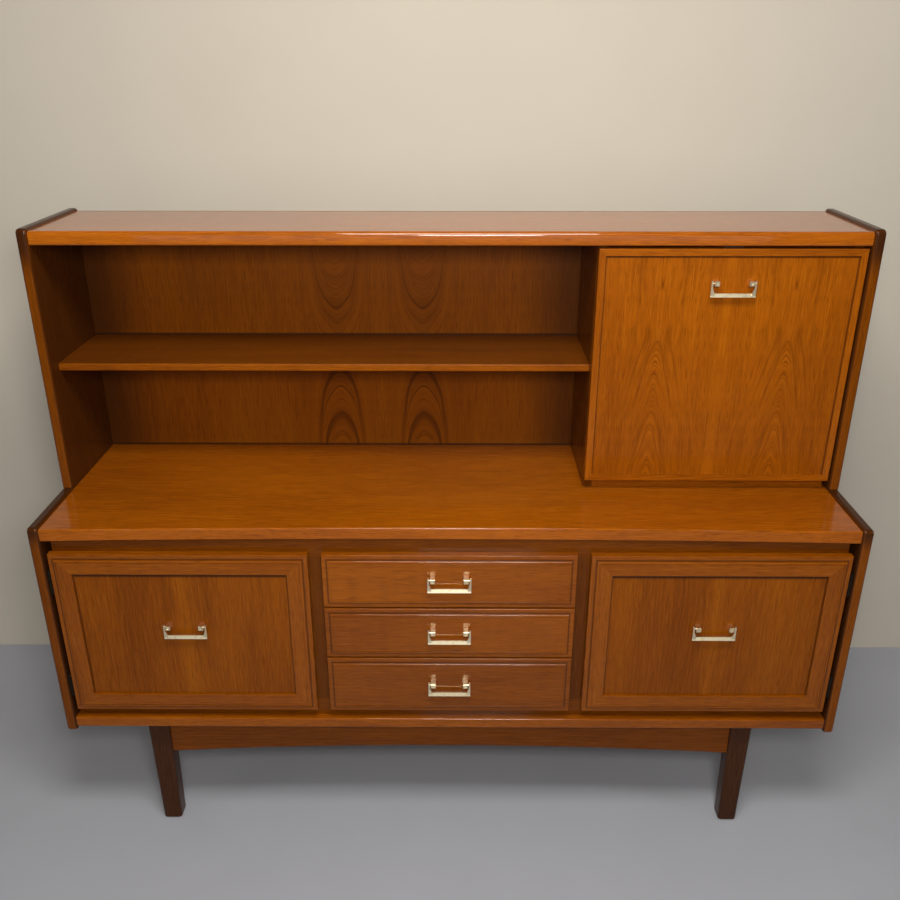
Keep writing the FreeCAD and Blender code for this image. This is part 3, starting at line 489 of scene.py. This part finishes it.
# Painted shade on the back: lines along the deck and the shelf, wider shades towards both ends of the bay
back_painted_shades = (("z", deck, SHADE_LINE_WIDTH, 0.9), ("z", shelf_high.z, SHADE_LINE_WIDTH, 0.9),
              ("x", shelf_low.x, SHADE_WIDTH, 0.75), ("x", shelf_high.x, SHADE_WIDTH, 0.65))
dress(backed_board("hutch_back_wood", back_leaf, FOLD_OF_BACK, back_low.y, PLY_DEPTH, back_painted_shades, seed=41.0,
                   light=0.78), "hutch_back")
dress(backed_board("base_back_wood", straight, 0.0, back_low.y, PLY_DEPTH, seed=44.0), "base_back")
dress(board("leg_wood", "z", seed=47.0, tones=DARK_TONES), "legs")
dress(board("frame_rail_wood", "x", seed=50.0, tones=DARK_TONES), "frame_rails")
dress(board("box_wood", "y", seed=53.0, tones=BOX_TONES, roughness=0.5, coat=0.0), "top_drawer_box",
      "middle_drawer_box", "bottom_drawer_box", "drawer_runners", "shelf_bearers", "spacer_strips")

pull_brass = metal("pull_brass", (0.96, 0.84, 0.58), (0.85, 0.68, 0.40), 0.28)
# The hinge metal is near black: painted shade for the hinges sitting in the dark gaps
hinge_bronze = metal("hinge_bronze", (0.034, 0.026, 0.018), (0.02, 0.015, 0.011), 0.50)
screw_steel = metal("screw_steel", (0.50, 0.47, 0.40), (0.30, 0.28, 0.24), 0.32)
dress(pull_brass, *[name + "_posts" for name in handles], *[name + "_bail" for name in handles])
dress(hinge_bronze, "hinge_plates", "left_door_fittings", "right_door_fittings", "flap_fittings", "flap_stay",
      "stay_stud")
dress(metal("catch_steel", (0.10, 0.10, 0.105), (0.06, 0.06, 0.06), 0.45), "catches")


# Screw heads: sizes of the pattern as shares of its radius, and of the screws in metres

DOME_CUT = 0.3
DOME_RISE = 0.7
SLOT_SIZE = (2.4, 0.24, 0.55, 1.0)
PULL_SCREW = (0.0042, 0.0022)
LEAF_HEAD = (0.0026, 0.0005)
BRACKET_HEAD = (0.0026, 0.0008)
BACK_SCREW = (0.0035, 0.0016)
HALF_SPACING = 0.031
LEAF_SCREW = 0.017
HINGE_PLACE = 0.095
LEAF_RISE = 0.020
BRACKET_REACH = 0.0078
BRACKET_FACE = 0.0015
BRACKET_DROP = 0.007
BRACKET_SCREW = 0.012
BACK_MARGIN = 0.014
SCREWS_ACROSS = 6
SCREWS_UP = 2
PULL_TURN = 0.7
BACK_TURN = 1.3


def screw_pattern():
    """Slotted round head of radius 1 that stands on the XY plane."""
    bpy.ops.object.select_all(action="DESELECT")
    bpy.ops.mesh.primitive_uv_sphere_add(segments=24, ring_count=12, radius=1.0)
    head = bpy.context.object
    bpy.ops.object.mode_set(mode="EDIT")
    bpy.ops.mesh.select_all(action="SELECT")
    bpy.ops.mesh.bisect(plane_co=(0, 0, DOME_CUT), plane_no=(0, 0, 1), use_fill=True, clear_inner=True)
    bpy.ops.object.mode_set(mode="OBJECT")
    head.data.transform(Matrix.Translation((0, 0, -DOME_CUT)))
    bpy.ops.object.select_all(action="DESELECT")
    bpy.ops.mesh.primitive_cube_add(size=1.0)
    cutter = bpy.context.object
    cutter.data.transform(Matrix.Translation((0, 0, DOME_RISE)) @ Matrix.Diagonal(SLOT_SIZE))
    cut = head.modifiers.new("slot", "BOOLEAN")
    cut.operation = "DIFFERENCE"
    cut.object = cutter
    bpy.ops.object.select_all(action="DESELECT")
    bpy.context.view_layer.objects.active = head
    head.select_set(True)
    bpy.ops.object.modifier_apply(modifier="slot")
    bpy.ops.object.shade_smooth_by_angle(angle=math.radians(35))
    bpy.data.objects.remove(cutter)
    mesh = head.data
    bpy.data.objects.remove(head)
    return mesh


pattern = screw_pattern()
counts = {}


def screw(group, place, facing, head, turn, body, material):
    """One screw head of a radius and a height at a place, turned by some angle, that rides on a body."""
    radius, height = head
    counts[group] = counts.get(group, 0) + 1
    name = group + "_screw_%02d" % counts[group]
    mesh = pattern.copy()
    mesh.name = name
    swing = Vector((0, 0, 1)).rotation_difference(Vector(facing)).to_matrix().to_4x4()
    size = Matrix.Diagonal((radius, radius, height / DOME_RISE, 1.0))
    mesh.transform(Matrix.Translation(place) @ swing @ Matrix.Rotation(turn, 4, "Z") @ size)
    mesh.materials.clear()
    mesh.materials.append(material)
    made = bpy.data.objects.new(name, mesh)
    bpy.context.scene.collection.objects.link(made)
    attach(made, body)


backs_of_handles = {name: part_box(name + "_front")[1].y for name in drawers}
backs_of_handles.update({name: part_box(name + "_panel")[1].y for name in panelled})
for number, name in enumerate(handles):
    post_low, post_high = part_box(name + "_posts")
    middle = (post_low + post_high) / 2
    for side in (-1, 1):
        place = (middle.x + side * HALF_SPACING, backs_of_handles[name], middle.z)
        screw(name + "_pull", place, (0, 1, 0), PULL_SCREW, PULL_TURN * number + side, name, screw_steel)

for place in (flap_low.x + HINGE_PLACE, flap_high.x - HINGE_PLACE):
    for step in (-1, 0, 1):
        x = place + step * LEAF_SCREW
        screw("flap_leaf", (x, flap_back, flap_low.z + LEAF_RISE), (0, 1, 0), LEAF_HEAD, step + 0.4, "flap",
              hinge_bronze)
        screw("floor_leaf", (x, cabinet_floor_low.y + LEAF_RISE, cabinet_floor_high.z), (0, 0, 1), LEAF_HEAD,
              step + 0.9, "carcass", hinge_bronze)

for step in (-1, 1):
    height = stay_high.z - BRACKET_DROP + step * BRACKET_SCREW
    screw("bracket", (stay_low.x - BRACKET_REACH, flap_back + BRACKET_FACE, height), (0, 1, 0), BRACKET_HEAD,
          step + 0.2, "flap", hinge_bronze)

for group, low, high in (("base_back", base_back_low, base_back_high), ("hutch_back", back_low, back_high)):
    left, right = low.x + BACK_MARGIN, high.x - BACK_MARGIN
    foot, head = low.z + BACK_MARGIN, high.z - BACK_MARGIN
    across = [left + (right - left) * i / SCREWS_ACROSS for i in range(SCREWS_ACROSS + 1)]
    up = [foot + (head - foot) * i / (SCREWS_UP + 1) for i in range(1, SCREWS_UP + 1)]
    places = [(x, z) for x in across for z in (foot, head)] + [(x, z) for z in up for x in (left, right)]
    for number, (x, z) in enumerate(places):
        screw(group, (x, high.y, z), (0, 1, 0), BACK_SCREW, BACK_TURN * number, "carcass", screw_steel)


# Floor, wall, lamps and camera

WALL_Y = 0.46
STAGE_HALF = 6.0
STAGE_FRONT = -6.0
STAGE_BACK = 5.0
WALL_HEIGHT = 5.0
FLOOR_COLOUR = (0.38, 0.39, 0.43)
WALL_COLOUR = (0.56, 0.51, 0.43)
ROOM_COLOUR = (0.86, 0.86, 0.88, 1.0)
ROOM_STRENGTH = 0.10
IMAGE_WIDTH = 900
FOCAL_PIXELS = 907.7
SENSOR = 36.0
CAMERA_PLACE = (0.0093, -1.63799, 1.50652)
CAMERA_PITCH = math.radians(23.50)
CAMERA_YAW = math.radians(0.322)


def plain(name, colour, roughness, mottle):
    """Even paint that is a little darker in patches."""
    finish = Finish(name)
    x, y, z = finish.position()
    speckle = finish.noise(x * 6, y * 6, z * 6, detail=4)
    darker = tuple(part * (1 - mottle) for part in colour)
    finish.set(Base_Color=finish.mix(speckle, colour, darker), Roughness=roughness)
    return finish.material


def stage_plane(name, corners, material):
    """A flat sheet of the stage, which isn't part of the piece."""
    mesh = bpy.data.meshes.new(name)
    mesh.from_pydata(corners, [], [(0, 1, 2, 3)])
    plane = bpy.data.objects.new(name, mesh)
    bpy.context.scene.collection.objects.link(plane)
    mesh.materials.append(material)


def one_sided(material):
    """Lets a stage wall be seen through from behind."""
    tree = material.node_tree
    geometry = tree.nodes.new("ShaderNodeNewGeometry")
    clear = tree.nodes.new("ShaderNodeBsdfTransparent")
    both = tree.nodes.new("ShaderNodeMixShader")
    tree.links.new(geometry.outputs["Backfacing"], both.inputs[0])
    tree.links.new(tree.nodes["Principled BSDF"].outputs[0], both.inputs[1])
    tree.links.new(clear.outputs[0], both.inputs[2])
    tree.links.new(both.outputs[0], tree.nodes["Material Output"].inputs["Surface"])
    return material


stage_plane("floor", [(-STAGE_HALF, STAGE_FRONT, 0), (STAGE_HALF, STAGE_FRONT, 0),
                      (STAGE_HALF, STAGE_BACK, 0), (-STAGE_HALF, STAGE_BACK, 0)],
            plain("floor_paint", FLOOR_COLOUR, 0.6, 0.08))
stage_plane("wall", [(-STAGE_HALF, WALL_Y, 0), (STAGE_HALF, WALL_Y, 0),
                     (STAGE_HALF, WALL_Y, WALL_HEIGHT), (-STAGE_HALF, WALL_Y, WALL_HEIGHT)],
            one_sided(plain("wall_paint", WALL_COLOUR, 0.8, 0.05)))


def lamp(name, place, target, width, height, power, colour):
    """A soft lamp that points at a target."""
    data = bpy.data.lights.new(name, "AREA")
    data.shape = "RECTANGLE"
    data.size, data.size_y = width, height
    data.energy = power
    data.color = colour
    made = bpy.data.objects.new(name, data)
    made.location = place
    made.rotation_euler = (Vector(target) - Vector(place)).to_track_quat("-Z", "Y").to_euler()
    bpy.context.scene.collection.objects.link(made)


lamp("ceiling_lamp", (0.06, -1.05, 2.45), (0.03, -0.25, 0.5), 0.9, 0.5, 30, (1.0, 0.97, 0.91))
lamp("camera_lamp", (0.10, -1.72, 1.66), (0.03, 0.0, 0.85), 0.45, 0.3, 22, (1.0, 0.97, 0.91))
lamp("front_lamp", (0.0, -3.4, 1.12), (0.0, 0.0, 0.8), 3.5, 1.1, 10.5, (1.0, 0.97, 0.92))
lamp("left_lamp", (-2.6, -1.3, 1.7), (0.0, 0.0, 0.7), 0.8, 1.6, 5, (1.0, 0.97, 0.95))
lamp("right_lamp", (2.6, -1.1, 1.8), (0.0, 0.0, 0.7), 0.8, 1.6, 6, (0.96, 0.97, 1.0))
lamp("back_lamp", (-0.6, 3.2, 2.0), (0.0, 0.2, 0.6), 2.0, 1.2, 20, (1.0, 0.97, 0.93))

world = bpy.data.worlds.new("room")
bpy.context.scene.world = world
world.use_nodes = True
world.node_tree.nodes["Background"].inputs["Color"].default_value = ROOM_COLOUR
world.node_tree.nodes["Background"].inputs["Strength"].default_value = ROOM_STRENGTH

camera_data = bpy.data.cameras.new("camera")
camera_data.sensor_width = SENSOR
camera_data.lens = SENSOR * FOCAL_PIXELS / IMAGE_WIDTH
camera = bpy.data.objects.new("camera", camera_data)
camera.location = CAMERA_PLACE
camera.rotation_euler = (math.pi / 2 - CAMERA_PITCH, 0, CAMERA_YAW)
bpy.context.scene.collection.objects.link(camera)
bpy.context.scene.camera = camera
bpy.context.scene.view_settings.view_transform = "Standard"
